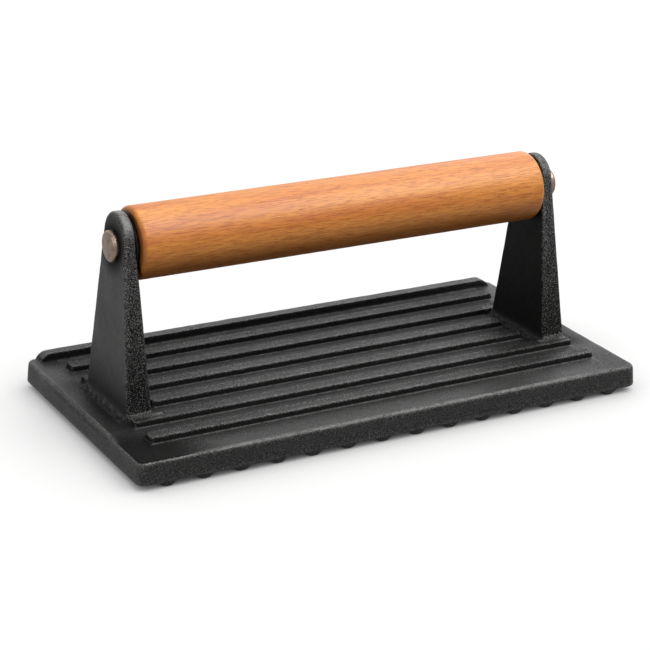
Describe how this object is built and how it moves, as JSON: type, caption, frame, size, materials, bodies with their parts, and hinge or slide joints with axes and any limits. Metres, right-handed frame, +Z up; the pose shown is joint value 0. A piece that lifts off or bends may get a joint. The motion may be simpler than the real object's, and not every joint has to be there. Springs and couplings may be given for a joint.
{
  "type": "grill press",
  "caption": "Rectangular cast iron grill press with a ribbed top and underside, a raised back rim, and a wooden grip that turns between upright posts.",
  "frame": {"origin": "centre of the plate's footprint, on the flat lands of the searing ribs that it rests on", "axes": "+X along the grip and the plate's long side, +Y towards the edge with the raised rim, +Z up"},
  "size_m": [0.2098, 0.1058, 0.0841],
  "materials": {
    "cast_iron": "black, as cast, seasoned",
    "oiled_wood": "turned and oiled, soft sheen",
    "plain_steel": "plain drawn steel",
    "cap_steel": "satin, slightly brown",
    "dark_steel": "blackened"
  },
  "bodies": {
    "press": {"press_casting": "cast_iron", "spacer_tube": "plain_steel", "tie_rod": "plain_steel", "right_cap_nut": "cap_steel", "left_cap_nut": "cap_steel", "right_washer": "dark_steel", "left_washer": "dark_steel"},
    "grip": {"wooden_grip": "oiled_wood"}
  },
  "joints": [
    {"name": "grip_turn", "type": "hinge", "parent": "press", "child": "grip", "pos_m": [0, 0, 0.0707], "axis": [1, 0, 0], "continuous": true}
  ]
}
